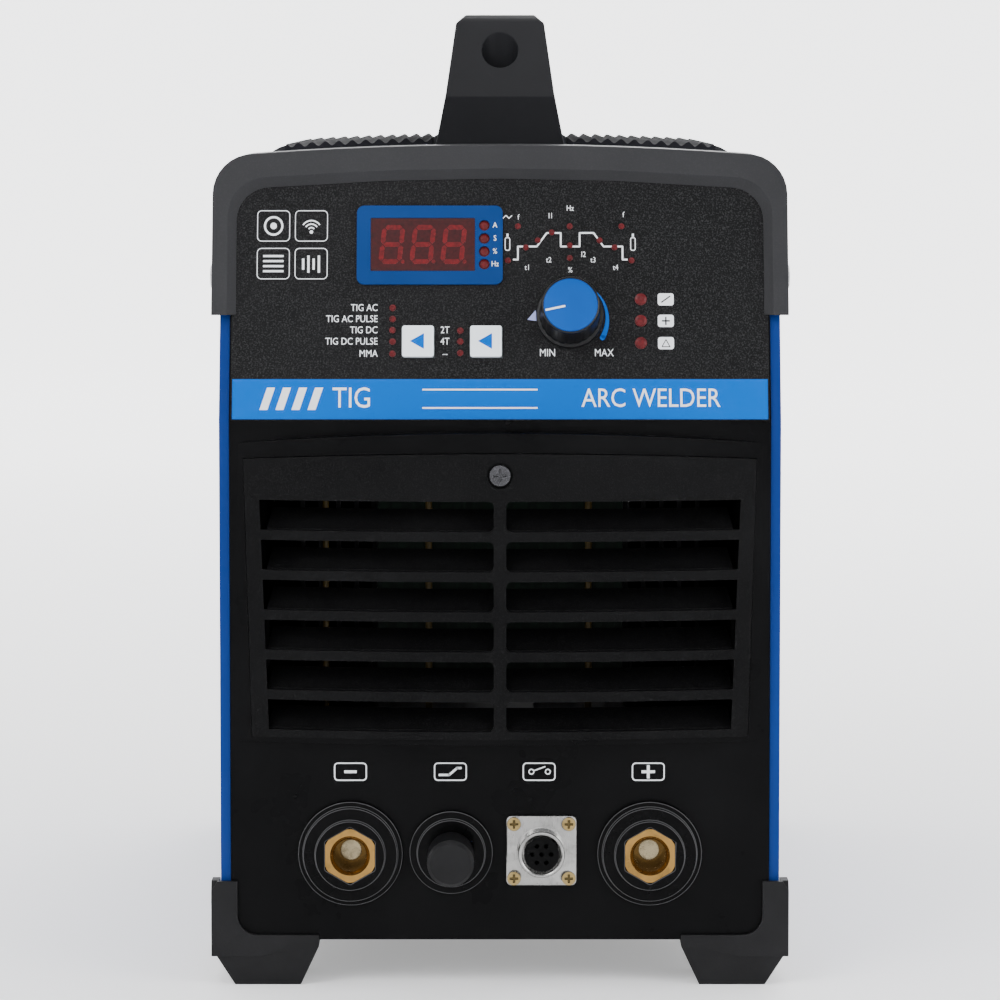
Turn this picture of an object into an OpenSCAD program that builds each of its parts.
// TIG welding machine: an inverter power source in a sheet steel case on four feet.
// +X is to the right seen from the front, +Y to the rear and +Z up.
// The origin is on the floor, under the middle of the machine.

/* [Case] */
// Width of the sheet steel case
case_w = 224.6; // [220:0.2:230]
// Depth from the front panel's face to the rear panel's face
case_d = 412; // [400:1:440]
// Height of the case's underside above the floor
case_low = 18.4; // [18:0.1:20]
// Height of the case's top at its shoulders
case_shoulder = 331.2; // [330:0.1:334]
// How far the middle of the top stands above its shoulders
case_rise = 3.2; // [1:0.1:4]
// Radius of the case's upper corners
case_r = 14; // [10:1:18]
// Thickness of the case sheet
sheet_t = 1.2; // [0.8:0.1:1.6]
// Width of the lip that the cover turns in around the front panel
lip_w = 4; // [3:0.1:4]

/* [Front moulding] */
// Half the width of the front moulding
fascia_half = 108; // [106:0.1:108]
// Wall thickness of the front moulding, front to back
fascia_t = 3; // [2.5:0.1:3.2]
// Depth of the front moulding's side walls
fascia_d = 24; // [20:1:28]
// Height at which the control panel starts to lean back
panel_low = 227.5; // [226:0.5:228]
// Angle that the control panel leans back
lean = 15; // [12:1:17]
// Height of the control panel's upper edge
panel_high = 325; // [322:0.5:325]
// Thickness of the printed overlay
overlay_t = 0.6; // [0.4:0.1:0.6]

/* [Hoods] */
// Half the outer width of a hood
hood_half = 115.5; // [115.2:0.1:116]
// Height at which a hood's arms end
hood_low = 269.5; // [265:0.5:275]
// Height of a hood's shoulders
hood_shoulder = 333.6; // [333:0.1:335]
// Rise of a hood's crown above its shoulders
hood_rise = 3.6; // [3.2:0.1:4]
// Depth of a hood over the case
hood_d = 44; // [40:1:44]
// How far a hood's rim stands proud of the panel
hood_proud = 4.5; // [4:0.1:5]
// Half the width of the opening in a hood's rim
rim_half = 105; // [104:0.1:105.5]

/* [Handle] */
// Length of the handle at its base
handle_l = 262; // [250:1:262]
// Height of the handle above the case
handle_h = 56.4; // [50:0.1:60]
// Width of the handle at its base
handle_base_w = 54; // [50:1:56]
// Width of the handle at its top
handle_top_w = 37; // [34:1:38]
// Length of the finger gap under the grip
finger_l = 128; // [110:1:130]
// Height of the finger gap
finger_h = 31; // [28:1:32]

/* [Mats] */
// Distance of a mat's inner edge from the middle
mat_in = 28; // [27.5:0.1:30]
// Distance of a mat's outer edge from the middle
mat_out = 89.6; // [80:0.1:92]
// Length of a mat
mat_l = 236; // [200:1:250]
// Mean height of a mat's ridged top above the case
mat_t = 4.4; // [4:0.1:4.6]
// Height of the hollows under a mat
mat_hollow = 2.7; // [1:0.1:2.8]
// Distance between the ridges of a mat
mat_pitch = 5.6; // [5:0.1:7]
// Height of a ridge above its valleys
mat_ridge = 1.7; // [1:0.1:2]

/* [Control panel] */
// Distance of the knob's axis to the right of the middle
knob_x = 28; // [26:0.5:30]
// Height of the knob's centre
knob_z = 269; // [268:0.5:270]
// Radius of the knob's skirt
knob_r = 12; // [11.6:0.1:12.5]
// Radius of the knob's flange
knob_flange_r = 13.6; // [13:0.1:14]
// Length of the knob
knob_l = 20; // [16:0.5:22]
// Width of a button
button_w = 12.7; // [12:0.1:13]
// Height of the buttons' centres
button_z = 258.6; // [257:0.1:260]
// Travel of a button
button_travel = 0.8; // [0.5:0.1:0.9]

/* [Grille] */
// Radius of the grille's bowed face
bow_r = 464; // [450:1:480]
// How far the bow stands in front of the panel
bow_sag = 12; // [10:0.5:12]
// Height of the upper edge of the top row of slots
slot_top = 196.4; // [196:0.1:197]
// Distance between the rows of slots
slot_pitch = 16; // [15.6:0.1:16]
// Height of a slot
slot_h = 12; // [10:0.1:12]
// Number of rows of slots
slot_rows = 6; // [4:1:6]

/* [Sockets] */
// Distance of a current socket's axis from the middle
socket_x = 60; // [58:0.5:62]
// Height of the sockets above the floor
socket_z = 53.8; // [52:0.1:56]
// Radius of a current socket's bore
socket_bore_r = 6.6; // [6.5:0.05:6.8]
// Distance of the gas outlet to the left of the middle
gas_x = 19.6; // [19:0.1:20]
// Distance of the control connector to the right of the middle
connector_x = 16.6; // [16:0.1:17]
// Radius of the control connector's thread
connector_r = 9.3; // [9:0.1:9.5]

/* [Feet] */
// Outer half width over the feet
foot_half = 116; // [115.8:0.1:116.4]
// Height of a foot's upright flange
foot_high = 42.4; // [40:0.1:45]
// Length of a foot along each edge of the case
foot_l = 43.2; // [40:0.1:46]
// Height of a foot's sole under the case
sole_h = 18.2; // [18:0.1:18.2]

/* [Fan and rear] */
// Height of the fan's axis
fan_z = 180; // [176:1:184]
// Side of the square fan frame
fan_side = 120; // [118:1:120]
// Radius of the fan's duct
duct_r = 57; // [56:0.5:57]
// Height of the power switch and of the cable gland
switch_z = 285; // [280:1:288]
// Distance of the power switch from the middle
switch_x = 52; // [50:1:60]
// Radius of the cable gland's bore
gland_bore_r = 5.5; // [5:0.1:6]
// Radius of the gas inlet's hose tail
tail_r = 4; // [3.8:0.1:4.2]

/* [Hidden] */
$fn = 48;

eps = 0.05;                 // overlap of joined shapes and of cutters
gap = 0.3;                  // clearance between separate pieces
touch = 0.1;                // seam between pieces that rest on each other
through = 5;                // how far a cutter passes beyond a sheet
far = 600;                  // longer than the machine in any direction
cap_reach = 30;             // the gas cap is the foremost piece
tail_reach = 28;            // the gas inlet's tail is the rearmost
total_d = case_d + cap_reach + tail_reach;
front_y = cap_reach - total_d / 2;
rear_y = front_y + case_d;
case_half = case_w / 2;
case_top = case_shoulder + case_rise;
tray_t = 1.5;
tray_wall = 24;             // height of the tray's side walls
tray_half = case_half - sheet_t - gap;
tray_top = case_low + tray_t + touch;
cover_low = tray_top;
fascia_high = panel_high + 1.8; // the moulding's upper edge above the panel
fascia_r = 10;
fascia_wall = 2.5;
front_screw_y = 15;         // hood screws behind the panel's face
vent_count = 10;            // slots in each side of the cover
vent_pitch = 12;
vent_y = 40;
vent_z = 90;
vent_h = 46;
screw_r = 2;
side_screw_ys = [-150, 0, 150];
side_screw_z = 32;
shelf_z = 100;
shelf_half = 104;
shelf_front = front_y + 44;
shelf_rear = rear_y - 40;
rear_t = 1.5;               // the rear panel's sheet
rear_inner = rear_y - rear_t;
fan_t = 25;
fan_rear = rear_y - 1.7;    // the fan stands against the rear panel's inner face
fan_bolt = 52.5;
gas_z = socket_z + 0.4;
handle_z = case_top + touch;
handle_bolt_y = handle_l / 2 - 22;
handle_seat = 8;            // the screw heads' seats above the handle's foot
board_y = 12;               // the control board's face behind the panel's face
board_t = 1.6;

function arc(cx, cz, r, a0, a1, steps = 8) =
    [for (i = [0:steps]) let (a = a0 + (a1 - a0) * i / steps) [cx + r * cos(a), cz + r * sin(a)]];

// Height of a crown above its shoulders at the distance x from the middle
function crown(x, half, rise) = rise * (1 - pow(x / half, 2));

// An upright outline with round upper corners and a slightly bowed top
function crowned(half, low, shoulder, rise, r, steps = 12) =
    let (flat = half - r)
    concat(
        [[half, low]],
        arc(flat, shoulder - r, r, 0, 90),
        [for (i = [1:steps - 1]) let (x = flat * (1 - 2 * i / steps)) [x, shoulder + crown(x, flat, rise)]],
        arc(-flat, shoulder - r, r, 90, 180),
        [[-half, low]]);

// How far the leaning panel has gone back at the height z
function lean_run(z) = (z - panel_low) * tan(lean);

// Distance up the leaning panel of a point at the height z
function up(z) = (z - panel_low) / cos(lean);

// Side outline of a layer that lies from a to b behind the front face, upright and then leaning
function front_layer(a, b, low, high) = [
    [front_y + a, low],
    [front_y + a, panel_low],
    [front_y + a + lean_run(high), high],
    [front_y + b + lean_run(high), high],
    [front_y + b, panel_low],
    [front_y + b, low]];

// Extrudes an outline in X and Z from y0 to y1
module along_y(y0, y1) translate([0, y1, 0]) rotate([90, 0, 0]) linear_extrude(y1 - y0) children();

// Extrudes an outline in Y and Z from x0 to x1
module along_x(x0, x1) translate([x0, 0, 0]) rotate([90, 0, 90]) linear_extrude(x1 - x0) children();

// A round bar along Y
module bar_y(x, z, r, y0, y1) translate([x, y0, z]) rotate([-90, 0, 0]) cylinder(h = y1 - y0, r = r);

// A cone along Y
module cone_y(x, z, r0, r1, y0, y1) {
    translate([x, y0, z]) rotate([-90, 0, 0]) cylinder(h = y1 - y0, r1 = r0, r2 = r1);
}

// A round bar along X
module bar_x(y, z, r, x0, x1) translate([x0, y, z]) rotate([0, 90, 0]) cylinder(h = x1 - x0, r = r);

// A hexagonal bar along Y, given across its flats
module hex_y(x, z, flats, y0, y1) {
    translate([x, y0, z]) rotate([-90, 0, 0]) rotate(30) cylinder(h = y1 - y0, d = flats / cos(30), $fn = 6);
}

// A box given by its lowest and highest corners
module box(low, high) translate(low) cube(high - low);

// A rounded square with its centre at the origin
module soft_square(w, h, r) {
    square([w - 2 * r, h], center = true);
    square([w, h - 2 * r], center = true);
    for (sx = [-1, 1], sz = [-1, 1]) translate([sx * (w / 2 - r), sz * (h / 2 - r)]) circle(r);
}

// Places things on the leaning panel: X across, Y into the panel, Z up the panel
module on_panel() translate([0, front_y, panel_low]) rotate([-lean, 0, 0]) children();

module both_sides() {
    children();
    mirror([1, 0, 0]) children();
}

module base_tray() color("dimgray") difference() {
    box([-tray_half, front_y + fascia_t + gap, case_low], [tray_half, rear_inner - 0.2, case_low + tray_wall]);
    box([tray_t - tray_half, front_y, case_low + tray_t], [tray_half - tray_t, rear_y, case_low + tray_wall + 1]);
    for (y = side_screw_ys) bar_x(y, side_screw_z, screw_r + touch, -far, far);
    for (sx = [-1, 1], y = foot_screw_ys) {
        translate([sx * foot_screw_x, y, 0]) cylinder(h = 40, r = screw_r + touch);
    }
}

// A bridge over the transformer that carries the heatsinks
module inner_shelf() color("silver") difference() {
    box([-shelf_half, shelf_front, tray_top], [shelf_half, shelf_rear, shelf_z + sheet_t]);
    box([sheet_t - shelf_half, front_y, 0], [shelf_half - sheet_t, rear_y, shelf_z]);
}

module case_cover() color("royalblue") difference() {
    intersection() {
        along_y(front_y, rear_y) polygon(crowned(case_half, cover_low, case_shoulder, case_rise, case_r));
        along_x(-far, far) polygon(front_layer(2, far, 0, 400));
    }
    intersection() {
        along_y(front_y, rear_y + 1)
            polygon(crowned(case_half - sheet_t, 0, case_shoulder - sheet_t, case_rise, case_r - sheet_t));
        along_x(-far, far) polygon(front_layer(2 + sheet_t, far, 0, 400));
    }
    along_y(front_y - 1, front_y + 60)
        polygon(crowned(case_half - lip_w, 0, case_shoulder - lip_w, case_rise, case_r - lip_w));
    for (y = side_screw_ys) bar_x(y, side_screw_z, screw_r + 0.1, -far, far);
    for (y = hood_screw_ys) bar_x(y, hood_screw_z, screw_r + 0.1, -far, far);
    for (sy = [-1, 1]) translate([0, sy * handle_bolt_y, case_top - 20]) cylinder(h = 40, r = 3.2);
    // ventilation slots low on both sides, towards the rear
    for (i = [0:vent_count - 1]) {
        along_x(-far, far) translate([vent_y + i * vent_pitch, vent_z]) soft_square(4, vent_h, 1.9);
    }
}

module rear_panel() color("dimgray") difference() {
    along_y(rear_inner, rear_y)
        polygon(crowned(tray_half, cover_low, case_shoulder - sheet_t - 0.4, case_rise, case_r - sheet_t - 0.4));
    rear_hole() bar_y(0, fan_z, duct_r - 1, -through, through);
    for (sx = [-1, 1], sz = [-1, 1]) {
        rear_hole() bar_y(sx * fan_bolt, fan_z + sz * fan_bolt, screw_r + touch, -through, through);
    }
    rear_hole() along_y(-through, through) translate([switch_x, switch_z]) square([22.6, 28.6], center = true);
    rear_hole() bar_y(-switch_x, switch_z, gland_neck_r + 0.2, -through, through);
    rear_hole() bar_y(-gas_x, gas_z, inlet_neck_r + 0.2, -through, through);
    rear_hole() bar_y(earth_x, earth_z, earth_r + 0.2, -through, through);
}

module rear_hole() translate([0, rear_y, 0]) children();

// Outline of the bowed surround of the grille, and of the insert within it
surround = crowned(107, 99, 219, 4.4, 3);

function insert_outline(grow) = concat(
    [[99.2 + grow, 101.2 - grow], [102.4 + grow, 212.6 + grow]],
    [for (i = [1:11]) let (x = 102.4 * (1 - i / 6)) [x, 212.6 + grow + crown(x, 102.4, 2.8)]],
    [[-102.4 - grow, 212.6 + grow], [-99.2 - grow, 101.2 - grow]]);

module bow(r) translate([0, front_y - bow_sag + bow_r, 0]) cylinder(h = 400, r = r, $fn = 180);

module front_fascia() color([0.09, 0.09, 0.1]) difference() {
    union() {
        difference() {
            intersection() {
                along_y(front_y, front_y + 80)
                    polygon(crowned(fascia_half, case_low, fascia_high - case_rise, case_rise, fascia_r));
                along_x(-far, far) polygon(front_layer(0, fascia_d, 0, 400));
            }
            intersection() {
                along_y(front_y, front_y + 120)
                    polygon(crowned(fascia_half - fascia_wall, 0, fascia_high - case_rise - fascia_wall, case_rise,
                        fascia_r - fascia_wall));
                along_x(-far, far) polygon(front_layer(fascia_t, 100, 0, 400));
            }
            box([-far, front_y + fascia_t, 0], [far, front_y + 100, cover_low + 0.2]);
        }
        intersection() {
            along_y(front_y - 20, front_y + eps) polygon(surround);
            bow(bow_r);
        }
    }
    // pocket for the grille and the way through behind it
    difference() {
        along_y(front_y - 20, front_y + 10) polygon(insert_outline(0.2));
        bow(bow_r - 1.5);
    }
    along_y(front_y - 20, front_y + 10)
        polygon([[-94.8, 102.9], [94.8, 102.9], [97.6, 200], [-97.6, 200]]);
    bar_y(0, grille_screw_z, 1.7, front_y - 20, front_y + 10);
    for (sx = [-1, 1]) bar_y(sx * socket_x, socket_z, socket_neck_r + gap, front_y - 1, front_y + 10);
    bar_y(-gas_x, gas_z, 8, front_y - 1, front_y + 10);
    bar_y(connector_x, connector_z, 8.7, front_y - 1, front_y + 10);
    for (place = connector_screw_places) bar_y(place[0], place[1], 1.6, front_y - 1, front_y + 10);
    on_panel() panel_windows(0.3);
    bar_x(hood_screw_ys[0], hood_screw_z, screw_r + 0.1, -far, far);
}

// The openings that the overlay and the moulding share
module panel_windows(slack) along_y(-5, 8) {
    translate([display_x, up(display_z)]) square([37.4 + 2 * slack, 19 + 2 * slack], center = true);
    for (x = button_xs) translate([x, up(button_z)]) square(button_w + 2 * slack, center = true);
    translate([knob_x, up(knob_z)]) circle(bush_r + 0.2);
}

module front_hood() color([0.16, 0.16, 0.17]) difference() {
    intersection() {
        along_y(front_y - 20, front_y + 120)
            polygon(crowned(hood_half, hood_low, hood_shoulder, hood_rise, 16));
        along_x(-far, far) polygon(front_layer(-hood_proud, hood_d, 0, 400));
    }
    intersection() {
        along_y(front_y - 20, front_y + 160)
            polygon(crowned(case_half + gap, 0, case_shoulder + gap, case_rise, case_r + gap));
        along_x(-far, far) polygon(front_layer(-overlay_t - 0.2, 160, 0, 400));
    }
    on_panel() rim_opening(up(322.6) - hood_rise);
    bar_x(hood_screw_ys[0], hood_screw_z, screw_r + 0.1, -far, far);
}

module rear_hood() color([0.16, 0.16, 0.17]) difference() {
    along_y(rear_y - hood_d, rear_y + hood_proud)
        polygon(crowned(hood_half, hood_low, hood_shoulder, hood_rise, 16));
    along_y(rear_y - hood_d - 1, rear_y + 0.8)
        polygon(crowned(case_half + gap, 0, case_shoulder + gap, case_rise, case_r + gap));
    mirror([0, 1, 0]) translate([0, -rear_y, 0]) rim_opening(322.6 - hood_rise);
    bar_x(hood_screw_ys[1], hood_screw_z, screw_r + 0.1, -far, far);
}

// The opening in a hood's rim, wider at its front edge
module rim_opening(shoulder) hull() {
    along_y(-hood_proud - 0.1, -hood_proud)
        polygon(crowned(rim_half + 4.5, -50, shoulder + 4.5, hood_rise, 16, 4));
    along_y(-eps, 0) polygon(crowned(rim_half, -50, shoulder, hood_rise, 13, 4));
}

// Side outline of the handle: sloping ends, a flat grip and the finger gap under it
handle_side = [
    [-handle_l / 2, 0],
    [-handle_l / 2 + 2, 22],
    [-handle_l / 2 + 34, handle_h - 3],
    [-handle_l / 2 + 40, handle_h],
    [handle_l / 2 - 40, handle_h],
    [handle_l / 2 - 34, handle_h - 3],
    [handle_l / 2 - 2, 22],
    [handle_l / 2, 0],
    [finger_l / 2 + 10, 0],
    [finger_l / 2, finger_h - 10],
    [finger_l / 2 - 10, finger_h],
    [-finger_l / 2 + 10, finger_h],
    [-finger_l / 2, finger_h - 10],
    [-finger_l / 2 - 10, 0]];

// End outline of the handle: wider at its foot, with chamfered upper edges
handle_end = [
    [-handle_base_w / 2, 0],
    [-handle_base_w / 2 + 4.5, 23],
    [-handle_top_w / 2, handle_h - 3.5],
    [-handle_top_w / 2 + 4, handle_h],
    [handle_top_w / 2 - 4, handle_h],
    [handle_top_w / 2, handle_h - 3.5],
    [handle_base_w / 2 - 4.5, 23],
    [handle_base_w / 2, 0]];

module handle() color([0.11, 0.11, 0.12]) translate([0, 0, handle_z]) difference() {
    intersection() {
        along_x(-40, 40) polygon(handle_side);
        along_y(-handle_l / 2 - 1, handle_l / 2 + 1) polygon(handle_end);
    }
    for (sy = [-1, 1]) translate([0, sy * handle_bolt_y, 0]) {
        translate([0, 0, handle_seat]) cylinder(h = 60, r = 7.5);
        translate([0, 0, -1]) cylinder(h = 20, r = 3.2);
    }
}

module handle_screws() color("dimgray") for (sy = [-1, 1])
    translate([0, sy * handle_bolt_y, handle_z]) difference() {
    union() {
        translate([0, 0, handle_seat]) cylinder(h = 5, r = 5.5);
        translate([0, 0, handle_seat - 24]) cylinder(h = 24 + eps, r = 3);
    }
    translate([0, 0, handle_seat + 2]) cylinder(h = 4, r = 2.9, $fn = 6);
}

function mat_floor(x) = case_shoulder + crown(x, case_half - case_r, case_rise) + touch;

// A mat's ridged top, lower at its inner and outer edges
function mat_top(x) =
    let (edge = min(1, (x - mat_in) / 2 + 0.8, (mat_out - x) / 2 + 0.7))
    mat_floor(x) + mat_t * edge + mat_ridge / 2 * edge * cos(360 * (x - mat_in) / mat_pitch);

// Its underside, which stands on narrow ribs with arched hollows between them
hollow_pitch = (mat_out - mat_in) / 9;
function mat_under(x) = mat_floor(x) + mat_hollow * sqrt(abs(sin(180 * (x - mat_in) / hollow_pitch)));

mat_steps = 108;
function mat_x(i) = mat_in + (mat_out - mat_in) * i / mat_steps;

// Ribbed rubber mats on the case's top, one on each side of the handle
module top_mats() color([0.13, 0.13, 0.14]) both_sides() along_y(-mat_l / 2, mat_l / 2) polygon(concat(
    [for (i = [0:mat_steps]) [mat_x(i), mat_top(mat_x(i))]],
    [for (i = [mat_steps:-1:0]) [mat_x(i), mat_under(mat_x(i))]]));

display_x = -31;
display_z = 297;
bezel_x = -28.2;
bezel_z = 296.8;
bezel_t = 1.2;
button_xs = [-32.8, -5.6];

module control_overlay() color([0.06, 0.06, 0.07]) on_panel() difference() {
    along_y(-overlay_t, 0) polygon(crowned(fascia_half - 0.5, 0.3, up(panel_high) - case_rise, case_rise, 9));
    panel_windows(0.3);
}

module display_bezel() color("royalblue") on_panel() along_y(-overlay_t - bezel_t, -overlay_t) difference() {
    translate([bezel_x, up(bezel_z)]) soft_square(58.6, 32.4, 3);
    translate([display_x, up(display_z)]) square([41.9, 21.8], center = true);
    for (z = unit_zs) translate([unit_x, up(z)]) circle(2.2);
}

module display_window() color([0.35, 0.03, 0.03]) on_panel() along_y(-overlay_t - 1, -overlay_t) {
    translate([display_x, up(display_z)]) square([41.7, 21.6], center = true);
}

module display_module() color([0.2, 0.02, 0.02]) on_panel() along_y(-0.3, board_y) {
    translate([display_x, up(display_z)]) square([37.4, 19], center = true);
}

// Rows and columns of the small indicator lamps, as [distance from the middle, height]
unit_x = -6.3;
unit_zs = [304.6, 299.4, 294.2, 289.2];
mode_lamps = [for (z = [272, 267.6, 263.2, 258.7, 253.9]) [-43, z]];
trigger_lamps = [for (z = [263, 258.7, 254.2]) [-15.9, z]];
process_lamps = [for (z = [275.4, 266.9, 258.1]) [56.4, z]];
pulse_lamps = [[3.2, 290.8], [7.2, 304.4], [10.4, 296], [15.2, 298.8], [20.8, 302], [28, 304.4],
    [28, 296.8], [28, 291.8], [40, 298.8], [46, 296], [48.8, 304.4], [52.8, 290.8]];

module lamp(place, r) translate([place[0], -overlay_t, up(place[1])]) rotate([90, 0, 0]) {
    cylinder(h = 0.4, r = r);
    translate([0, 0, 0.4 - eps]) cylinder(h = 0.3 + eps, r1 = r, r2 = r * 0.6);
}

module indicator_leds() color("darkred") on_panel() {
    for (z = unit_zs) lamp([unit_x, z], 2);
    for (place = mode_lamps) lamp(place, 1.3);
    for (place = trigger_lamps) lamp(place, 1.3);
    for (place = process_lamps) lamp(place, 2.4);
    for (place = pulse_lamps) lamp(place, 1.2);
}

// A square key with a flange that keeps it behind the panel, and a stem to its switch
module button(x) color("white") on_panel() translate([x, 0, up(button_z)]) {
    along_y(-2.4, 3.6) soft_square(button_w, button_w, 1);
    along_y(3.3, 4.6) square(button_w + 3, center = true);
    bar_y(0, 0, 1.7, 4.5, board_y - 3.1 - button_travel - gap);
}

module mode_button() button(button_xs[0]);

module trigger_button() button(button_xs[1]);

module button_switches() color([0.2, 0.2, 0.2]) on_panel() for (x = button_xs) {
    along_y(board_y - 3.1, board_y) translate([x, up(button_z)]) square(6, center = true);
}

shaft_r = 3;
bush_r = 4.5;
knob_back = 0.9;            // clearance between the knob and the overlay's level
knob_cap_r = 10.75;

module knob() color([0.08, 0.08, 0.09]) on_panel() difference() {
    union() {
        cone_y(knob_x, up(knob_z), knob_r - 0.4, knob_r, -knob_l - knob_back, -knob_back);
        bar_y(knob_x, up(knob_z), knob_flange_r, -knob_back - 2, -knob_back);
    }
    bar_y(knob_x, up(knob_z), shaft_r, -knob_l + 5, 0);
    bar_y(knob_x, up(knob_z), 8, -8, 0);
    bar_y(knob_x, up(knob_z), knob_cap_r, -knob_l - 2, -knob_l);
}

module knob_cap() color("royalblue") on_panel() translate([knob_x, 0, up(knob_z)]) difference() {
    bar_y(0, 0, knob_cap_r, -knob_l - 1.1, -knob_l);
    along_y(-knob_l - 2, -knob_l - 0.8) polygon([[-11, -2.6], [-10.7, -1], [-2.2, 0], [-2, -1]]);
}

module encoder_shaft() color("silver") on_panel() bar_y(knob_x, up(knob_z), shaft_r, -knob_l + 5, 9);

module encoder() color("silver") on_panel() difference() {
    union() {
        along_y(3.1, board_y) translate([knob_x, up(knob_z)]) square([13, 13], center = true);
        bar_y(knob_x, up(knob_z), bush_r, -4, 3.2);
        hex_y(knob_x, up(knob_z), 11, -2.8, -0.7);
    }
    bar_y(knob_x, up(knob_z), shaft_r + 0.05, -6, 9.3);
}

module control_board() color("darkgreen") on_panel() {
    box([-96, board_y + 0.05, 8], [96, board_y + board_t, 92]);
    box([-70, board_y + board_t - eps, 20], [-30, board_y + board_t + 7, 50]);
    box([10, board_y + board_t - eps, 54], [70, board_y + board_t + 5, 70]);
}

module board_posts() color("gold") on_panel() {
    for (x = [-90, 90], z = [14, 86]) bar_y(x, z, 3, fascia_t * cos(lean) + 0.02, board_y);
}

grille_screw_z = 206.8;
plate_back = bow_r - 1.4;
plate_face = bow_r + 1.6;
function slot_end(z) = 92.4 + 3.6 * (z - 104.4) / 92;

// One slot, with its two inner corners rounded
module slot(z) polygon(concat(
    [[slot_end(z - slot_h), z - slot_h], [slot_end(z), z]],
    arc(4.5, z - 2, 2, 90, 180, 4),
    arc(4.5, z - slot_h + 2, 2, 180, 270, 4)));

// A blade that slopes up and back from the bar under each slot, bent along the bow
blade_span = 23.2;          // angle that a blade covers on the bow
blade_depth = 11;
blade_rise = 8;
blade_t = 1.6;

module blade(z) translate([0, front_y - bow_sag + bow_r, 0]) rotate(270 - blade_span / 2) {
    rotate_extrude(angle = blade_span, $fn = 180) polygon([
        [plate_back + 0.4, z - 1.2],
        [plate_back + 0.4, z + 0.6],
        [bow_r - blade_depth, z + blade_rise],
        [bow_r - blade_depth, z + blade_rise - blade_t]]);
}

module front_grille() color([0.1, 0.1, 0.11]) {
    difference() {
        intersection() {
            along_y(front_y - 20, front_y + 10) polygon(insert_outline(0));
            bow(plate_face);
        }
        bow(plate_back);
        for (i = [0:slot_rows - 1]) both_sides() along_y(front_y - 20, front_y + 10) slot(slot_top - i * slot_pitch);
        bar_y(0, grille_screw_z, 5.2, front_y - 20, front_y - bow_sag + 0.2);
        bar_y(0, grille_screw_z, 1.8, front_y - 20, front_y);
    }
    for (i = [0:slot_rows - 1]) blade(slot_top - slot_h - i * slot_pitch);
}

module grille_screw() color([0.05, 0.05, 0.06]) difference() {
    union() {
        bar_y(0, grille_screw_z, 4.2, front_y - bow_sag - 1.6, front_y - bow_sag + 0.2);
        bar_y(0, grille_screw_z, 1.6, front_y - bow_sag, front_y + 2);
    }
    cross_cut(0, grille_screw_z, 2.6, front_y - bow_sag - 2, front_y - bow_sag - 0.4);
}

// A cross recess that points along Y
module cross_cut(x, z, reach, y0, y1) along_y(y0, y1) translate([x, z]) {
    square([2 * reach, 0.9], center = true);
    square([0.9, 2 * reach], center = true);
}

socket_flats = 19.8;
socket_face = 8.5;          // the brass stands this far in front of the panel
socket_neck_r = 14;
socket_depth = 6;           // depth of the bore behind the panel's face

module socket_flange(x) color([0.08, 0.08, 0.09]) difference() {
    union() {
        bar_y(x, socket_z, 21, front_y - 3.5, front_y);
        bar_y(x, socket_z, 18.9, front_y - 6.5, front_y - 3.4);
        bar_y(x, socket_z, socket_neck_r, front_y - 9, front_y + 9);
    }
    hex_y(x, socket_z, socket_flats + touch, front_y - 10, front_y + 10);
}

module negative_socket_flange() socket_flange(-socket_x);

module positive_socket_flange() socket_flange(socket_x);

module socket_body(x) color("goldenrod") difference() {
    union() {
        hex_y(x, socket_z, socket_flats, front_y - socket_face, front_y + 14);
        bar_y(x, socket_z, 9, front_y + 14 - eps, front_y + 26);
    }
    bar_y(x, socket_z, socket_bore_r, front_y - 10, front_y + socket_depth);
    bar_y(x, socket_z, bolt_r + touch, front_y, front_y + 40);
}

module negative_socket_body() socket_body(-socket_x);

module positive_socket_body() socket_body(socket_x);

bolt_r = 4;
bolt_end = front_y + 42;

// Bolts that clamp the leads behind the sockets
module socket_bolts() color("darkgoldenrod") for (x = [-socket_x, socket_x]) {
    bar_y(x, socket_z, bolt_r, front_y + socket_depth + gap, bolt_end - 5);
    hex_y(x, socket_z, 15, bolt_end - 5.1, bolt_end);
}

nipple_r = 7;
nipple_bore_r = 2.5;

module gas_outlet_flange() color([0.08, 0.08, 0.09]) difference() {
    union() {
        bar_y(-gas_x, gas_z, 16.75, front_y - 3.2, front_y);
        bar_y(-gas_x, gas_z, 13.6, front_y - 6, front_y - 3.1);
    }
    bar_y(-gas_x, gas_z, 6.05, front_y - 10, front_y + 1);
}

module gas_outlet_nipple() color("goldenrod") difference() {
    union() {
        bar_y(-gas_x, gas_z, 8.6, front_y - 8, front_y - 6);
        bar_y(-gas_x, gas_z, nipple_r, front_y - 25, front_y - 7.9);
        bar_y(-gas_x, gas_z, 6, front_y - 6.1, front_y + 14);
        hex_y(-gas_x, gas_z, 17, front_y + fascia_t + eps, front_y + 8);
        bar_y(-gas_x, gas_z, hose_bore_r - eps, front_y + 13.9, front_y + 30);
    }
    bar_y(-gas_x, gas_z, nipple_bore_r, front_y - 26, front_y + 31);
}

cap_r = 9.3;

module gas_cap() color([0.07, 0.07, 0.08]) difference() {
    union() {
        bar_y(-gas_x, gas_z, cap_r, front_y - 28.5, front_y - 8.4);
        cone_y(-gas_x, gas_z, cap_r - 1.3, cap_r, front_y - cap_reach, front_y - 28.4);
    }
    bar_y(-gas_x, gas_z, nipple_r + 0.35, front_y - 26.5, front_y);
}

connector_z = socket_z + 1;
connector_side = 28.2;
connector_screw_in = 11;    // its screws' distance from its axis, each way
connector_screw_places = [for (sx = [-1, 1], sz = [-1, 1])
    [connector_x + sx * connector_screw_in, connector_z + sz * connector_screw_in]];
pin_ring = 3.8;             // radius of the ring of pin holes
pin_hole_r = 0.9;

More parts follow.
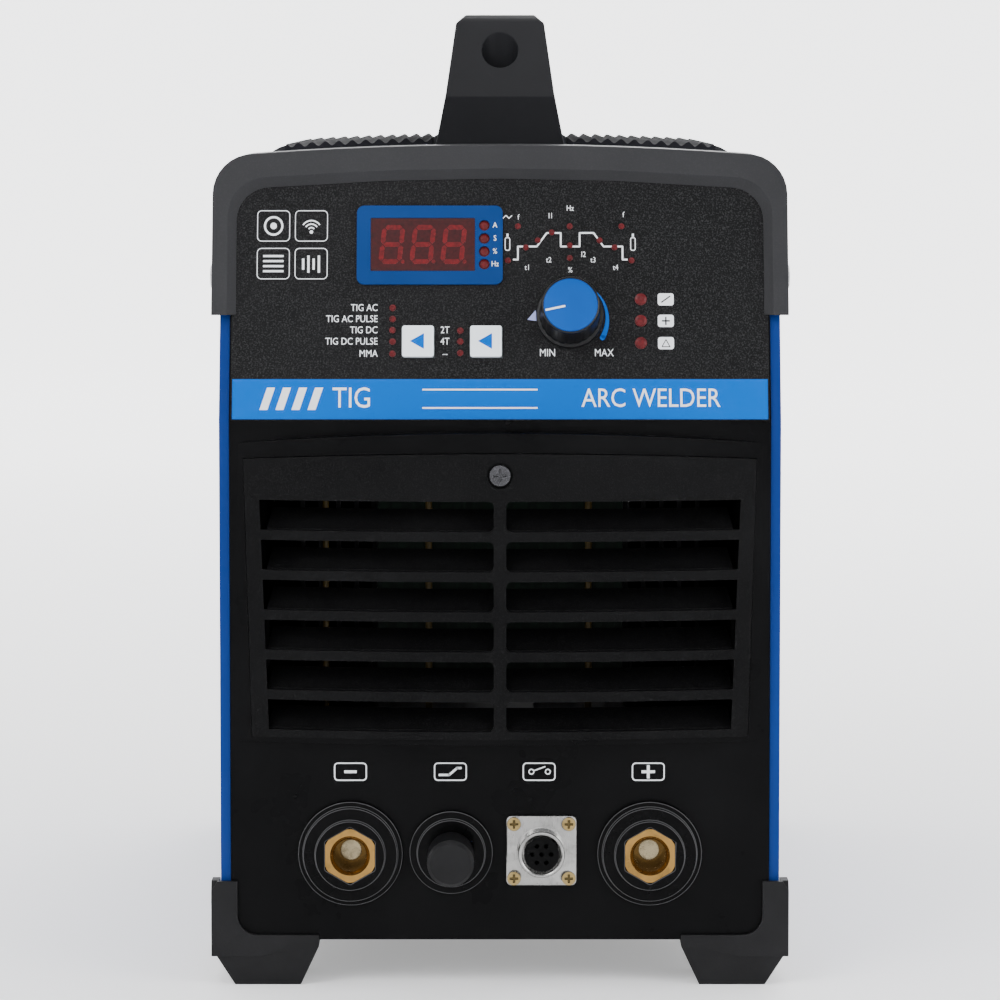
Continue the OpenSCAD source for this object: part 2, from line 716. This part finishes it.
module connector_shell() color("silver") difference() {
    union() {
        along_y(front_y - 2, front_y)
            translate([connector_x, connector_z]) soft_square(connector_side, connector_side, 2);
        bar_y(connector_x, connector_z, connector_r, front_y - 12, front_y - 1.9);
        bar_y(connector_x, connector_z, 8.4, front_y - 0.1, front_y + 14);
    }
    bar_y(connector_x, connector_z, 6.5, front_y - 13, front_y + 15);
    bar_y(connector_x, connector_z, 8, front_y - 13, front_y - 0.6);
    for (place = connector_screw_places) bar_y(place[0], place[1], 1.6, front_y - 3, front_y + 1);
}

module connector_insert() color([0.07, 0.07, 0.08]) difference() {
    union() {
        bar_y(connector_x, connector_z, 7, front_y - 11, front_y - 0.7);
        bar_y(connector_x, connector_z, 6.45, front_y - 0.8, front_y + 13);
    }
    for (i = [0:6]) {
        reach = i == 6 ? 0 : pin_ring;
        bar_y(connector_x + reach * cos(60 * i), connector_z + reach * sin(60 * i), pin_hole_r,
            front_y - 12, front_y - 3);
    }
}

module connector_screws() color("gold") for (place = connector_screw_places) difference() {
    union() {
        bar_y(place[0], place[1], 2.75, front_y - 3.8, front_y - 2);
        bar_y(place[0], place[1], 1.5, front_y - 2.1, front_y + 7);
    }
    cross_cut(place[0], place[1], 1.7, front_y - 4, front_y - 3);
}

foot_screw_x = 94;
foot_screw_in = 20;
foot_screw_ys = [front_y + foot_screw_in, rear_y - foot_screw_in];
foot_proud = 2.5;           // a foot stands this far in front of the panel
flange_t = 2.4;
side_flange_t = 3.2;

// Outline of an upright flange: a tall leg at the corner, a rounded crotch and a low arm.
// The corner is at zero, and the outline runs inwards to negative values.
flange_outline = concat(
    [[0, 12], [0, foot_high - 4], [-2.5, foot_high], [-10.6, foot_high]],
    arc(-18.6, 28.6, 8, 0, -90, 6),
    [[-foot_l, 20.6], [-foot_l, 17.6], [-20, 12]]);

// Outline of the sole block from one side, given how far its outer face slopes in
function sole_outline(slope) = [
    [0, sole_h],
    [0, 15.4],
    [-slope, 0],
    [-35.8, 0],
    [-foot_l, 16],
    [-foot_l, sole_h]];

// A foot with its outer corner at the origin, on the side of negative X and positive Y
module foot_shape() difference() {
    union() {
        intersection() {
            along_y(0, foot_l) polygon(sole_outline(9.4));
            along_x(-foot_l, 0) mirror([1, 0]) polygon(sole_outline(3));
        }
        along_y(0, flange_t) polygon(flange_outline);
        along_x(-side_flange_t, 0) mirror([1, 0]) polygon(flange_outline);
    }
    // room for the case above the sole
    box([-foot_l - 1, flange_t, sole_h], [-side_flange_t, foot_l + 1, 60]);
    translate([foot_screw_x - foot_half, foot_screw_in + foot_proud, -1]) {
        cylinder(h = 9, r = 5);
        cylinder(h = 30, r = screw_r + touch);
    }
}

module foot(sx, rear) color([0.08, 0.08, 0.08]) {
    mirror([sx < 0 ? 1 : 0, 0, 0]) mirror([0, rear ? 1 : 0, 0])
        translate([foot_half, rear ? -rear_y - foot_proud : front_y - foot_proud, 0]) foot_shape();
}

module front_left_foot() foot(-1, false);

module front_right_foot() foot(1, false);

module rear_left_foot() foot(-1, true);

module rear_right_foot() foot(1, true);

module foot_screws() color("silver") for (sx = [-1, 1], y = foot_screw_ys)
    translate([sx * foot_screw_x, y, 0]) {
    translate([0, 0, 5]) cylinder(h = 3, r = 4);
    translate([0, 0, 7.9]) cylinder(h = 16, r = screw_r);
}

hood_screw_z = 284;
hood_screw_ys = [front_y + front_screw_y + lean_run(hood_screw_z), rear_y - 22];

// A screw with a domed head, driven in from the right-hand side
module side_screw(x, y, z, head_r, head_h, length) {
    bar_x(y, z, screw_r, x - length, x + eps);
    translate([x, y, z]) rotate([0, 90, 0]) cylinder(h = head_h * 0.4, r = head_r);
    translate([x + head_h * 0.4 - eps, y, z]) rotate([0, 90, 0]) {
        cylinder(h = head_h * 0.6, r1 = head_r, r2 = head_r * 0.6);
    }
}

module case_screws() color([0.25, 0.25, 0.26]) {
    both_sides() {
        for (y = side_screw_ys) side_screw(case_half, y, side_screw_z, 4, 2, 8);
        side_screw(hood_half, hood_screw_ys[0], hood_screw_z, 6.8, 1.6, 9);
        side_screw(hood_half, hood_screw_ys[1], hood_screw_z, 6.8, 1.6, 9);
    }
    for (sx = [-1, 1], sz = [-1, 1]) {
        bar_y(sx * fan_bolt, fan_z + sz * fan_bolt, screw_r, rear_y - 30, rear_y + 3.1);
        bar_y(sx * fan_bolt, fan_z + sz * fan_bolt, 3.8, rear_y + 3, rear_y + 5.2);
    }
}

hub_r = 20;
axle_r = 1.5;

module fan_frame() color([0.1, 0.1, 0.1]) {
    difference() {
        along_y(fan_rear - fan_t, fan_rear) translate([0, fan_z]) soft_square(fan_side, fan_side, 5);
        bar_y(0, fan_z, duct_r, fan_rear - fan_t - 1, fan_rear + 1);
        for (sx = [-1, 1], sz = [-1, 1]) {
            bar_y(sx * fan_bolt, fan_z + sz * fan_bolt, screw_r + 0.1, fan_rear - fan_t - 1, fan_rear + 1);
        }
    }
    difference() {
        union() {
            bar_y(0, fan_z, hub_r, fan_rear - fan_t, fan_rear - fan_t + 4);
            bar_y(0, fan_z, 4, fan_rear - fan_t, fan_rear - 8);
            for (a = [45:90:315]) {
                translate([0, fan_rear - fan_t, fan_z]) rotate([0, a, 0]) box([0, 0, -2], [duct_r + 1, 3.5, 2]);
            }
        }
        bar_y(0, fan_z, axle_r + 0.05, fan_rear - fan_t + 1, fan_rear);
    }
}

module fan_rotor() color([0.12, 0.12, 0.12]) {
    difference() {
        bar_y(0, fan_z, hub_r, fan_rear - fan_t + 4.8, fan_rear - 2);
        bar_y(0, fan_z, hub_r - 2.5, fan_rear - fan_t, fan_rear - 5);
    }
    bar_y(0, fan_z, axle_r, fan_rear - fan_t + 1.5, fan_rear - 4.9);
    intersection() {
        difference() {
            bar_y(0, fan_z, duct_r - 1.5, fan_rear - fan_t + 4.8, fan_rear - 2);
            bar_y(0, fan_z, hub_r - 0.5, fan_rear - fan_t, fan_rear);
        }
        for (a = [0:360 / 7:359]) translate([0, fan_rear - 11.5, fan_z]) rotate([0, a, 0]) rotate([38, 0, 0]) {
            box([hub_r - 1, -14, -0.9], [duct_r, 14, 0.9]);
        }
    }
}

module fan_guard() color("silver") translate([0, rear_y + 1.2, fan_z]) {
    for (r = [16, 29, 42, 55]) rotate([90, 0, 0]) rotate_extrude() translate([r, 0]) circle(1.1, $fn = 16);
    for (a = [45:90:315]) rotate([0, a, 0]) {
        translate([15.5, 1.2, 0]) rotate([0, 90, 0]) cylinder(h = 55, r = 1.1, $fn = 16);
    }
    for (sx = [-1, 1], sz = [-1, 1]) difference() {
        bar_y(sx * fan_bolt, sz * fan_bolt, 5, -1.1, 1.8);
        bar_y(sx * fan_bolt, sz * fan_bolt, screw_r + 0.1, -2, 3);
    }
}

rocker_pivot_y = rear_y - 1;
rocker_tilt = 12;
rocker_half = 11;

module power_switch() color([0.1, 0.1, 0.1]) difference() {
    union() {
        along_y(rear_y, rear_y + 2) translate([switch_x, switch_z]) soft_square(27, 33, 2);
        along_y(rear_y - 22, rear_y + eps) translate([switch_x, switch_z]) square([22, 28], center = true);
    }
    along_y(rear_y - 10, rear_y + 3) translate([switch_x, switch_z]) square([17, 2 * rocker_half + 1.8], center = true);
    bar_x(rocker_pivot_y, switch_z, axle_r + 0.05, switch_x - 10, switch_x + 10);
}

module power_rocker() color([0.55, 0.05, 0.05])
    translate([switch_x, rocker_pivot_y, switch_z]) rotate([rocker_tilt, 0, 0]) {
    along_x(-8.1, 8.1) polygon([[-3, -rocker_half], [2.6, -rocker_half], [4.6, 0], [2.6, rocker_half],
        [-3, rocker_half], [-5, 3], [-5, -3]]);
    bar_x(0, 0, axle_r, -9.6, 9.6);
}

gland_neck_r = 9.8;
gland_l = 20;

module cable_gland() color([0.1, 0.1, 0.1]) difference() {
    union() {
        hex_y(-switch_x, switch_z, 24, rear_y, rear_y + 6);
        cone_y(-switch_x, switch_z, 11, 10, rear_y + 5.9, rear_y + 14);
        cone_y(-switch_x, switch_z, 10, 8, rear_y + 13.9, rear_y + gland_l);
        bar_y(-switch_x, switch_z, gland_neck_r, rear_y - 14, rear_y + touch);
        hex_y(-switch_x, switch_z, 23, rear_y - 7, rear_inner - touch);
    }
    bar_y(-switch_x, switch_z, gland_bore_r, rear_y - 15, rear_y + gland_l + 1);
}

inlet_neck_r = 6;
barb_ys = [19, 23.4];       // each barb starts this far behind the rear panel
barb_l = 4.6;

module gas_inlet() color("goldenrod") difference() {
    union() {
        hex_y(-gas_x, gas_z, 17, rear_y, rear_y + 6);
        bar_y(-gas_x, gas_z, inlet_neck_r, rear_y - 16, rear_y + touch);
        bar_y(-gas_x, gas_z, tail_r, rear_y + 5.9, rear_y + barb_ys[0]);
        for (y = barb_ys) cone_y(-gas_x, gas_z, tail_r, tail_r - 0.7, rear_y + y - eps, rear_y + y + barb_l - eps);
    }
    bar_y(-gas_x, gas_z, 2.4, rear_y - 17, rear_y + tail_reach + 1);
}

earth_x = 62;
earth_z = 62;
earth_r = 3;

module earth_stud() color("gold") {
    bar_y(earth_x, earth_z, earth_r, rear_y - 12, rear_y + 18);
    bar_y(earth_x, earth_z, 2 * earth_r, rear_y, rear_y + 1.2);
    hex_y(earth_x, earth_z, 10, rear_y + 1.1, rear_y + 6);
    hex_y(earth_x, earth_z, 10, rear_y - 6.5, rear_inner - eps);
}

fin_count = 10;
fin_h = 105;
sink_in = 14;               // the heatsinks' inner sides from the middle
sink_w = 70;
board_z = 214;
board_half = 95;
driver_half = 50;

module heatsinks() color("silver") both_sides() along_y(-110, 120) {
    translate([sink_in, shelf_z + fin_h + 1]) square([sink_w, 6]);
    for (i = [0:fin_count - 1]) {
        translate([sink_in + i * (sink_w - 2) / (fin_count - 1), shelf_z + sheet_t + 0.2]) square([2, fin_h]);
    }
}

// The main board over the heatsinks and an upright driver board behind the grille
module power_boards() color("darkgreen") {
    box([-board_half, -135, board_z], [board_half, 135, board_z + board_t]);
    box([-driver_half, front_y + 40, 120], [driver_half, front_y + 40 + board_t, 210]);
}

module capacitors() color("darkslategray") for (x = [-62, -20], y = [-80, -40, 0]) {
    translate([x, y, board_z + board_t + touch]) cylinder(h = 52, r = 17);
}

core_low = [12, -60, tray_top];
core_high = [92, 40, 92];

// A core with a winding through its two windows
module main_transformer() color([0.22, 0.2, 0.18]) {
    difference() {
        box(core_low, core_high);
        for (x = [24, 60]) box([x, core_low[1] - 1, 36], [x + 20, core_high[1] + 1, 76]);
    }
    box([26, core_low[1] - 10, 38], [78, core_high[1] + 10, 74]);
}

choke_r = 34;
choke_l = 60;

module output_choke() color("peru") translate([-66, -10, tray_top + choke_r + 2]) rotate([90, 0, 0]) difference() {
    cylinder(h = choke_l, r = choke_r, center = true);
    cylinder(h = choke_l + 2, r = 14, center = true);
}

lead_r = 5;
lead_start = bolt_end + touch;

// Insulated leads from the socket bolts to the choke and the transformer
module output_leads() color([0.7, 0.1, 0.1]) {
    bar_y(-socket_x, socket_z + 22, lead_r, lead_start + 8, -40.1);
    box([-socket_x - 8, lead_start, socket_z - 8], [-socket_x + 8, lead_start + 8, socket_z + 28]);
    bar_y(socket_x, socket_z, lead_r, lead_start, core_low[1] - 10.1);
}

valve_front = rear_y - 56;
valve_half = 14;
hose_bore_r = 3.95;

module gas_valve() color("silver") {
    box([-gas_x - valve_half, valve_front, 40], [valve_half - gas_x, rear_y - 16.1, 68]);
    translate([-gas_x, valve_front + valve_half, 67.9]) cylinder(h = 26, r = 12);
}

module gas_hose() color([0.15, 0.15, 0.15]) difference() {
    bar_y(-gas_x, gas_z, 6, front_y + 15, valve_front - touch);
    bar_y(-gas_x, gas_z, hose_bore_r, front_y + 14, valve_front + 1);
}

// Upright control wires behind the grille
module wire_harness() color("gold") for (x = [-71, -29, 36]) {
    translate([x, front_y + 34, 106]) cylinder(h = 104, r = 1.4, $fn = 16);
}

base_tray();
inner_shelf();
case_cover();
front_fascia();
rear_panel();
front_hood();
rear_hood();
handle();
handle_screws();
top_mats();
control_overlay();
display_bezel();
display_window();
display_module();
indicator_leds();
mode_button();
trigger_button();
button_switches();
knob();
knob_cap();
encoder_shaft();
encoder();
control_board();
board_posts();
front_grille();
grille_screw();
negative_socket_flange();
positive_socket_flange();
negative_socket_body();
positive_socket_body();
socket_bolts();
gas_outlet_flange();
gas_outlet_nipple();
gas_cap();
connector_shell();
connector_insert();
connector_screws();
front_left_foot();
front_right_foot();
rear_left_foot();
rear_right_foot();
foot_screws();
case_screws();
fan_frame();
fan_rotor();
fan_guard();
power_switch();
power_rocker();
cable_gland();
gas_inlet();
earth_stud();
heatsinks();
power_boards();
capacitors();
main_transformer();
output_choke();
output_leads();
gas_valve();
gas_hose();
wire_harness();
